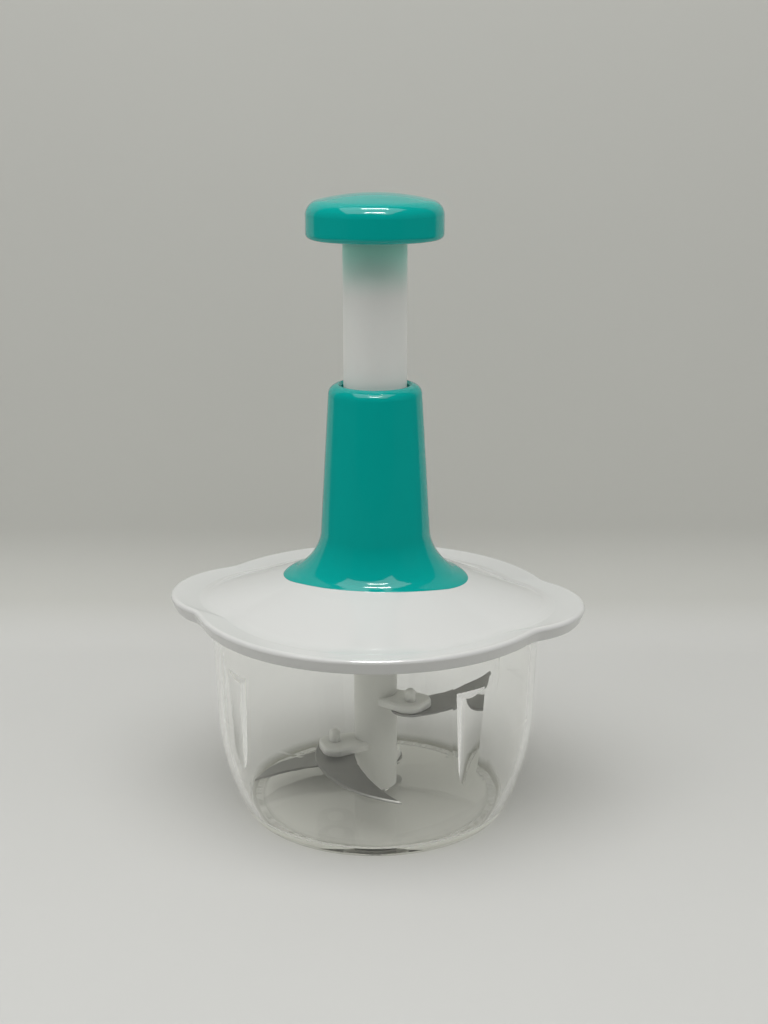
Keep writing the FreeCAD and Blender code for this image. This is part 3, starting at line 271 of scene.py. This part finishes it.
def moulded_group():
    """Faint waves, haze and tone changes of a moulded plastic surface."""
    group, entry, leave = start_group(
        "moulded surface",
        [("Colour", "NodeSocketColor", (0.5, 0.5, 0.5, 1.0)),
         ("Tone", "NodeSocketFloat", 0.04),
         ("Roughness", "NodeSocketFloat", 0.25),
         ("Haze", "NodeSocketFloat", 0.05),
         ("Ripple scale", "NodeSocketFloat", 160.0),
         ("Ripple", "NodeSocketFloat", 0.05)],
        [("Colour", "NodeSocketColor"), ("Roughness", "NodeSocketFloat"),
         ("Normal", "NodeSocketVector")])
    nodes, links = group.nodes, group.links
    place = nodes.new("ShaderNodeTexCoord")
    broad = nodes.new("ShaderNodeTexNoise")
    broad.inputs["Scale"].default_value = 18.0
    broad.inputs["Detail"].default_value = 3.0
    links.new(place.outputs["Object"], broad.inputs["Vector"])
    fine = nodes.new("ShaderNodeTexNoise")
    fine.inputs["Scale"].default_value = 900.0
    fine.inputs["Detail"].default_value = 4.0
    links.new(place.outputs["Object"], fine.inputs["Vector"])
    wave = nodes.new("ShaderNodeTexNoise")
    wave.inputs["Detail"].default_value = 2.0
    links.new(place.outputs["Object"], wave.inputs["Vector"])
    links.new(entry.outputs["Ripple scale"], wave.inputs["Scale"])

    centred = maths(group, "SUBTRACT", broad.outputs["Fac"], 0.5)
    toned = nodes.new("ShaderNodeMath")
    toned.operation = "MULTIPLY_ADD"
    toned.inputs[2].default_value = 1.0
    links.new(centred, toned.inputs[0])
    links.new(entry.outputs["Tone"], toned.inputs[1])
    shade = scaled(group, entry.outputs["Colour"], toned.outputs[0])
    links.new(shade, leave.inputs["Colour"])

    speck = nodes.new("ShaderNodeMath")
    speck.operation = "MULTIPLY_ADD"
    links.new(fine.outputs["Fac"], speck.inputs[0])
    links.new(entry.outputs["Haze"], speck.inputs[1])
    links.new(entry.outputs["Roughness"], speck.inputs[2])
    links.new(speck.outputs[0], leave.inputs["Roughness"])

    bump = nodes.new("ShaderNodeBump")
    bump.inputs["Distance"].default_value = 0.0002
    links.new(entry.outputs["Ripple"], bump.inputs["Strength"])
    links.new(wave.outputs["Fac"], bump.inputs["Height"])
    links.new(bump.outputs["Normal"], leave.inputs["Normal"])
    return group


def brushed_group():
    """Fine lines along X with a few deeper scratches, as on brushed sheet steel."""
    group, entry, leave = start_group(
        "brushed surface",
        [("Colour", "NodeSocketColor", (0.5, 0.5, 0.5, 1.0)),
         ("Roughness", "NodeSocketFloat", 0.35),
         ("Line scale", "NodeSocketFloat", 1500.0),
         ("Depth", "NodeSocketFloat", 0.1)],
        [("Colour", "NodeSocketColor"), ("Roughness", "NodeSocketFloat"),
         ("Normal", "NodeSocketVector")])
    nodes, links = group.nodes, group.links
    place = nodes.new("ShaderNodeTexCoord")
    stretch = nodes.new("ShaderNodeMapping")
    stretch.inputs["Scale"].default_value = (0.02, 1.0, 1.0)
    links.new(place.outputs["Object"], stretch.inputs["Vector"])
    lines = nodes.new("ShaderNodeTexNoise")
    lines.inputs["Detail"].default_value = 3.0
    links.new(stretch.outputs[0], lines.inputs["Vector"])
    links.new(entry.outputs["Line scale"], lines.inputs["Scale"])
    blotch = nodes.new("ShaderNodeTexNoise")
    blotch.inputs["Scale"].default_value = 45.0
    blotch.inputs["Detail"].default_value = 2.0
    links.new(place.outputs["Object"], blotch.inputs["Vector"])

    tone = ranged(group, lines.outputs["Fac"], 0.0, 1.0, low=0.86, high=1.12)
    links.new(scaled(group, entry.outputs["Colour"], tone), leave.inputs["Colour"])
    rough = nodes.new("ShaderNodeMath")
    rough.operation = "MULTIPLY_ADD"
    rough.inputs[1].default_value = 0.12
    links.new(blotch.outputs["Fac"], rough.inputs[0])
    links.new(entry.outputs["Roughness"], rough.inputs[2])
    links.new(rough.outputs[0], leave.inputs["Roughness"])
    bump = nodes.new("ShaderNodeBump")
    bump.inputs["Distance"].default_value = 0.0001
    links.new(entry.outputs["Depth"], bump.inputs["Strength"])
    links.new(lines.outputs["Fac"], bump.inputs["Height"])
    links.new(bump.outputs["Normal"], leave.inputs["Normal"])
    return group


def shared_group(name, build):
    """The node group of that name, built the first time."""
    found = bpy.data.node_groups.get(name)
    return found if found else build()


def plastic(name, colour, tone, roughness, haze, ripple, gloss=0.5, glow=0.0):
    """Moulded plastic with its own gloss; glow lets light a little way in."""
    material, tree, shader = new_material(name)
    moulded = tree.nodes.new("ShaderNodeGroup")
    moulded.node_tree = shared_group("moulded surface", moulded_group)
    wear(tree, shader, moulded, {
        "Colour": (*colour, 1.0), "Tone": tone, "Roughness": roughness, "Haze": haze,
        "Ripple": ripple, "Ripple scale": 1.0 / bpy.context.scene.chopper_sizes.ripple})
    shader.inputs["IOR"].default_value = 1.49
    shader.inputs["Specular IOR Level"].default_value = gloss
    shader.inputs["Subsurface Weight"].default_value = glow
    shader.inputs["Subsurface Radius"].default_value = (1.0, 1.0, 1.0)
    shader.inputs["Subsurface Scale"].default_value = 0.004
    return material


def fade_to(material, colour, start, end):
    """Let another colour show in the plastic from one height up to another."""
    tree = material.node_tree
    moulded = next(node for node in tree.nodes if node.type == "GROUP")
    own = moulded.inputs["Colour"].default_value[:3]
    rise = ranged(tree, object_place(tree)[1], start, end, curve="SMOOTHSTEP")
    tree.links.new(blended(tree, rise, own, colour), moulded.inputs["Colour"])


def steel(name, colour, roughness, depth):
    """Brushed sheet or drawn wire."""
    material, tree, shader = new_material(name)
    brushed = tree.nodes.new("ShaderNodeGroup")
    brushed.node_tree = shared_group("brushed surface", brushed_group)
    wear(tree, shader, brushed, {
        "Colour": (*colour, 1.0), "Roughness": roughness, "Depth": depth,
        "Line scale": 1.0 / bpy.context.scene.chopper_sizes.grain})
    shader.inputs["Metallic"].default_value = 1.0
    return material


def clear_plastic(name, tint, foot_tint_and_shade):
    """Clear moulded plastic; its thick foot is darker, a greenish tint with painted shade where
    it stands on the floor, and its shadow stays pale.
    """
    material, tree, shader = new_material(name)
    nodes, links = tree.nodes, tree.links
    moulded = nodes.new("ShaderNodeGroup")
    moulded.node_tree = shared_group("moulded surface", moulded_group)
    place, rise = object_place(tree)
    level = nodes.new("ShaderNodeVectorMath")
    level.operation = "MULTIPLY"
    level.inputs[1].default_value = (1.0, 1.0, 0.0)
    links.new(place, level.inputs[0])
    radius = nodes.new("ShaderNodeVectorMath")
    radius.operation = "LENGTH"
    links.new(level.outputs[0], radius.inputs[0])
    # The low outer ring of the foot takes the darker tint with painted shade
    above = ranged(tree, rise, 0.0, FOOT_TOP)
    inside = ranged(tree, radius.outputs["Value"], FOOT_OUTER_RADIUS, FOOT_INNER_RADIUS)
    pale = maths(tree, "MAXIMUM", above, inside)
    links.new(blended(tree, pale, foot_tint_and_shade, tint), moulded.inputs["Colour"])
    wear(tree, shader, moulded, {"Tone": 0.01, "Roughness": 0.0, "Haze": 0.03,
                                 "Ripple": 0.03, "Ripple scale": 60.0})
    shader.inputs["Transmission Weight"].default_value = 1.0
    shader.inputs["IOR"].default_value = 1.42
    through = nodes.new("ShaderNodeBsdfTransparent")
    through.inputs["Color"].default_value = (1.0, 1.0, 0.985, 1.0)
    # light that has bounced inside the wall leaves straight, so it is never trapped
    ray = nodes.new("ShaderNodeLightPath").outputs
    trapped = maths(tree, "MINIMUM", ray["Glossy Depth"], ray["Transmission Depth"])
    free = maths(tree, "MAXIMUM", ray["Is Diffuse Ray"], trapped)
    soft = maths(tree, "MAXIMUM", ray["Is Shadow Ray"], free, clamp=True)
    mixed(tree, soft, shader.outputs["BSDF"], through.outputs["BSDF"], "Material Output")
    return material


def dress(names, material):
    """Give CAD nodes their finish."""
    for name in names:
        node = NODES[name]
        node.data.materials.clear()
        node.data.materials.append(material)


def new_plane(name):
    """A plane of that name, which the caller then gives its shape."""
    bpy.ops.object.select_all(action="DESELECT")
    bpy.ops.mesh.primitive_plane_add(size=1.0, location=(0, 0, 0))
    bpy.context.object.name = name
    return bpy.context.object


# Pieces

class CHOPPER_OT_grip(bpy.types.Operator):
    """Finish the green grip and the two halves of the knob"""
    bl_idname = "chopper.grip"
    bl_label = "Grip and knob"

    def execute(self, context):
        colours = context.scene.chopper_colours
        green = plastic("grip green gloss", colours.grip, 0.05, 0.04, 0.04, 0.03, 0.4)
        dress(["handle_shell", "knob_base", "knob_cap"], green)
        return {"FINISHED"}


class CHOPPER_OT_lid(bpy.types.Operator):
    """Finish the white lid and the plate inside it"""
    bl_idname = "chopper.lid"
    bl_label = "Lid"

    def execute(self, context):
        colours = context.scene.chopper_colours
        white = plastic("lid white gloss", colours.lid, 0.03, 0.08, 0.05, 0.03)
        dress(["lid_shell"], white)
        satin = plastic("inner white satin", colours.lid, 0.03, 0.35, 0.1, 0.1)
        dress(["lid_inner_plate", "guide_sleeve", "nut_cap", "drive_nut", "drive_hub"],
              satin)
        return {"FINISHED"}


class CHOPPER_OT_plunger(bpy.types.Operator):
    """Finish the plunger tube"""
    bl_idname = "chopper.plunger"
    bl_label = "Plunger tube"

    def execute(self, context):
        colours = context.scene.chopper_colours
        satin = plastic("tube white satin", colours.shaft, 0.03, 0.3, 0.1, 0.05, glow=0.5)
        # The top of the tube takes painted shade and painted green bounce light under the knob,
        # with the knob's green plug seen through
        knob_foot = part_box("knob_base")[0][2]
        fade_to(satin, colours.tube_end_green_and_shade, knob_foot - TUBE_SHADE_START, knob_foot - TUBE_SHADE_END)
        dress(["plunger_tube"], satin)
        return {"FINISHED"}


class CHOPPER_OT_bowl(bpy.types.Operator):
    """Finish the clear bowl"""
    bl_idname = "chopper.bowl"
    bl_label = "Bowl"

    def execute(self, context):
        colours = context.scene.chopper_colours
        clear = clear_plastic("bowl clear", colours.bowl, colours.foot)
        dress(["bowl"], clear)
        return {"FINISHED"}


class CHOPPER_OT_blades(bpy.types.Operator):
    """Finish the blade shaft, its pegs and the three blades"""
    bl_idname = "chopper.blades"
    bl_label = "Blade set"

    def execute(self, context):
        colours = context.scene.chopper_colours
        satin = plastic("shaft white satin", colours.shaft, 0.03, 0.32, 0.1, 0.05, glow=0.5)
        dress(["blade_shaft", "upper_blade_peg", "middle_blade_peg", "lower_blade_peg"],
              satin)
        sheet = steel("blade brushed steel", colours.blade, 0.34, 0.15)
        dress(["upper_blade", "middle_blade", "lower_blade"], sheet)
        return {"FINISHED"}


class CHOPPER_OT_fittings(bpy.types.Operator):
    """Finish the steel fittings, the bushes and the seal"""
    bl_idname = "chopper.fittings"
    bl_label = "Fittings"

    def execute(self, context):
        colours = context.scene.chopper_colours
        bright = steel("fitting steel", colours.bright_steel, 0.2, 0.05)
        dress(["bowl_pivot_pin", "twisted_rod", "handle_screws", "inner_plate_screws",
               "knob_screws"], bright)
        bearing = plastic("bearing acetal", colours.bearing, 0.03, 0.35, 0.1, 0.05)
        dress(["hub_bush", "pivot_bush"], bearing)
        rubber = plastic("seal rubber", colours.seal, 0.05, 0.6, 0.2, 0.2)
        dress(["seal_ring"], rubber)
        return {"FINISHED"}


class CHOPPER_OT_spring(bpy.types.Operator):
    """Make the return spring as a smooth copy of the packed one, carried by the lid; the real
    spring shortens as the knob goes down
    """
    bl_idname = "chopper.spring"
    bl_label = "Return spring"

    def execute(self, context):
        wire = steel("spring wire", context.scene.chopper_colours.bright_steel, 0.2, 0.05)
        spring = new_plane("coil_spring")
        spring.data = NODES["return_spring"].data.copy()
        bpy.ops.object.mode_set(mode="EDIT")
        bpy.ops.mesh.select_all(action="SELECT")
        bpy.ops.mesh.remove_doubles(threshold=WELD_DISTANCE)
        bpy.ops.mesh.normals_make_consistent(inside=False)
        bpy.ops.object.mode_set(mode="OBJECT")
        bpy.ops.object.shade_smooth_by_angle(angle=SMOOTH_ANGLE)
        spring.data.materials.clear()
        spring.data.materials.append(wire)
        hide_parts("return_spring")
        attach(spring, "lid_body")
        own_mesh(spring)
        return {"FINISHED"}


# Stage

def area_light(name, place, aim, size, power):
    """A rectangular light aimed at a point; its size in metres, its power in watts."""
    light = bpy.data.lights.new(name, "AREA")
    light.shape = "RECTANGLE"
    light.size, light.size_y = size
    light.energy = power
    lamp = bpy.data.objects.new(name, light)
    bpy.context.scene.collection.objects.link(lamp)
    lamp.location = place
    lamp.rotation_euler = (Vector(aim) - Vector(place)).to_track_quat("-Z", "Y").to_euler()
    return lamp


def paper_material(stage):
    """Pale paper whose upright wall is painted darker, as painted shade; it is clear when seen
    from behind.
    """
    material, tree, shader = new_material("studio paper")
    shader.inputs["Roughness"].default_value = 0.75
    shader.inputs["Specular IOR Level"].default_value = 0.2
    place, rise = object_place(tree)
    noise = tree.nodes.new("ShaderNodeTexNoise")
    noise.inputs["Scale"].default_value = 3.0
    tree.links.new(place, noise.inputs["Vector"])
    # Painted shade: the paper darkens to the wall grey as it rises off the floor
    wall = ranged(tree, rise, 0.0, WALL_SHADE_RISE)
    ground = blended(tree, wall, stage.floor_colour, stage.wall_shade_colour)
    cloud = ranged(tree, noise.outputs["Fac"], 0.0, 1.0, low=0.97, high=1.03)
    tree.links.new(scaled(tree, ground, cloud), shader.inputs["Base Color"])
    behind = tree.nodes.new("ShaderNodeNewGeometry").outputs["Backfacing"]
    clear = tree.nodes.new("ShaderNodeBsdfTransparent")
    mixed(tree, behind, shader.outputs["BSDF"], clear.outputs["BSDF"], "Material Output")
    return material


def make_floor(turn, stage):
    """A sheet that lies flat in front and curves up behind the chopper."""
    floor = new_plane("studio_floor")
    profile = [(PAPER_FRONT, 0.0), (BEND_START, 0.0)]
    for step in range(1, BEND_STEPS):
        angle = math.radians(90.0 * step / BEND_STEPS)
        profile.append((BEND_START + BEND_RADIUS * math.sin(angle),
                        BEND_RADIUS * (1 - math.cos(angle))))
    profile += [(BEND_START + BEND_RADIUS, BEND_RADIUS), (BEND_START + BEND_RADIUS, PAPER_TOP)]
    bm = bmesh.new()
    rows = []
    for y, z in profile:
        rows.append([bm.verts.new(turn @ Vector((x, y, z)))
                     for x in (-PAPER_HALF_WIDTH, PAPER_HALF_WIDTH)])
    for low, high in zip(rows, rows[1:]):
        bm.faces.new((low[0], low[1], high[1], high[0]))
    bm.to_mesh(floor.data)
    bm.free()
    for face in floor.data.polygons:
        face.use_smooth = True
    floor.data.materials.append(paper_material(stage))


def make_camera(turn, stage):
    """The camera that was fitted to the photograph."""
    camera = bpy.data.cameras.new("studio_camera")
    camera.lens = stage.camera_lens
    camera.sensor_width = 36.0
    camera.clip_start = 0.01
    view = bpy.data.objects.new("studio_camera", camera)
    bpy.context.scene.collection.objects.link(view)
    view.location = turn @ Vector((0, -stage.camera_distance, stage.camera_height))
    level = math.cos(stage.camera_pitch)
    forward = turn @ Vector((math.sin(stage.camera_yaw) * level,
                             math.cos(stage.camera_yaw) * level,
                             -math.sin(stage.camera_pitch)))
    view.rotation_euler = forward.to_track_quat("-Z", "Y").to_euler()
    bpy.context.scene.camera = view


def make_world():
    """Soft light from all around that glossy pieces reflect as a darker room."""
    world = bpy.data.worlds.new("studio_world")
    world.use_nodes = True
    tree = world.node_tree
    sky = tree.nodes["Background"]
    sky.inputs["Color"].default_value = (1.0, 1.0, 0.965, 1.0)
    sky.inputs["Strength"].default_value = 0.42
    dark = tree.nodes.new("ShaderNodeBackground")
    dark.inputs["Strength"].default_value = 0.06
    ray = tree.nodes.new("ShaderNodeLightPath").outputs
    mirrored = maths(tree, "SUBTRACT", ray["Is Glossy Ray"], ray["Transmission Depth"],
                     clamp=True)
    mixed(tree, mirrored, sky.outputs[0], dark.outputs[0], "World Output")
    bpy.context.scene.world = world


def make_screen(turn):
    """A dark screen behind the camera, so the fronts of the pieces don't go flat."""
    screen = new_plane("studio_screen")
    corners = [(x, z) for z in (0.0, SCREEN_HEIGHT)
               for x in (-SCREEN_HALF_WIDTH, SCREEN_HALF_WIDTH)]
    for corner, (x, z) in zip(screen.data.vertices, corners):
        corner.co = turn @ Vector((x, SCREEN_PLACE, z))
    material, tree, shader = new_material("dark paper")
    shader.inputs["Base Color"].default_value = (0.03, 0.03, 0.03, 1.0)
    shader.inputs["Roughness"].default_value = 0.9
    screen.data.materials.append(material)
    screen.visible_camera = False
    screen.visible_transmission = False


def make_lights(turn):
    """A broad box above, a soft box at each side, and two bars for the highlights."""
    area_light("top_box", turn @ Vector((-0.08, -0.36, 1.1)), (0, -0.05, 0.1), (1.3, 0.9), 9.5)
    for name, x in (("left_box", -1.0), ("right_box", 1.0)):
        side = area_light(name, turn @ Vector((x, -0.25, 0.5)), (0, 0, 0.1), (0.7, 0.5), 1.3)
        side.visible_glossy = False
        side.visible_transmission = False
    for name, y, z in (("near_bar", -0.30, 0.62), ("far_bar", -0.075, 0.72)):
        bar = area_light(name, turn @ Vector((0.0, y, z)), (0, 0, 0.2), (0.22, 0.024), 1.3)
        bar.visible_diffuse = False


class CHOPPER_OT_stage(bpy.types.Operator):
    """Make the floor, the backdrop, the lights and the camera"""
    bl_idname = "chopper.stage"
    bl_label = "Stage"

    def execute(self, context):
        stage = context.scene.chopper_stage
        turn = Matrix.Rotation(stage.camera_angle, 3, "Z")
        make_floor(turn, stage)
        make_camera(turn, stage)
        make_world()
        make_screen(turn)
        make_lights(turn)
        context.scene.view_settings.view_transform = "Standard"
        return {"FINISHED"}


class CHOPPER_PT_panel(bpy.types.Panel):
    """Lists the steps that dress the chopper"""
    bl_idname = "CHOPPER_PT_panel"
    bl_label = "Food chopper"
    bl_space_type = "VIEW_3D"
    bl_region_type = "UI"
    bl_category = "Chopper"

    def draw(self, context):
        layout = self.layout
        for group in (context.scene.chopper_colours, context.scene.chopper_sizes,
                      context.scene.chopper_stage):
            box = layout.box()
            for name in group.bl_rna.properties.keys():
                if name not in ("rna_type", "name"):
                    box.prop(group, name)
        for step in STEPS:
            layout.operator(step.bl_idname)


GROUPS = (ChopperColours, ChopperSizes, ChopperStage)
STEPS = (CHOPPER_OT_bowl, CHOPPER_OT_blades, CHOPPER_OT_lid, CHOPPER_OT_grip,
         CHOPPER_OT_plunger, CHOPPER_OT_fittings, CHOPPER_OT_spring, CHOPPER_OT_stage)
CLASSES = GROUPS + STEPS + (CHOPPER_PT_panel,)


def register():
    for item in CLASSES:
        bpy.utils.register_class(item)
    bpy.types.Scene.chopper_colours = PointerProperty(type=ChopperColours)
    bpy.types.Scene.chopper_sizes = PointerProperty(type=ChopperSizes)
    bpy.types.Scene.chopper_stage = PointerProperty(type=ChopperStage)


def unregister():
    del bpy.types.Scene.chopper_stage
    del bpy.types.Scene.chopper_sizes
    del bpy.types.Scene.chopper_colours
    for item in reversed(CLASSES):
        bpy.utils.unregister_class(item)


def main():
    register()
    bpy.ops.chopper.bowl()
    bpy.ops.chopper.blades()
    bpy.ops.chopper.lid()
    bpy.ops.chopper.grip()
    bpy.ops.chopper.plunger()
    bpy.ops.chopper.fittings()
    bpy.ops.chopper.spring()
    bpy.ops.chopper.stage()


if __name__ == "__main__":
    main()
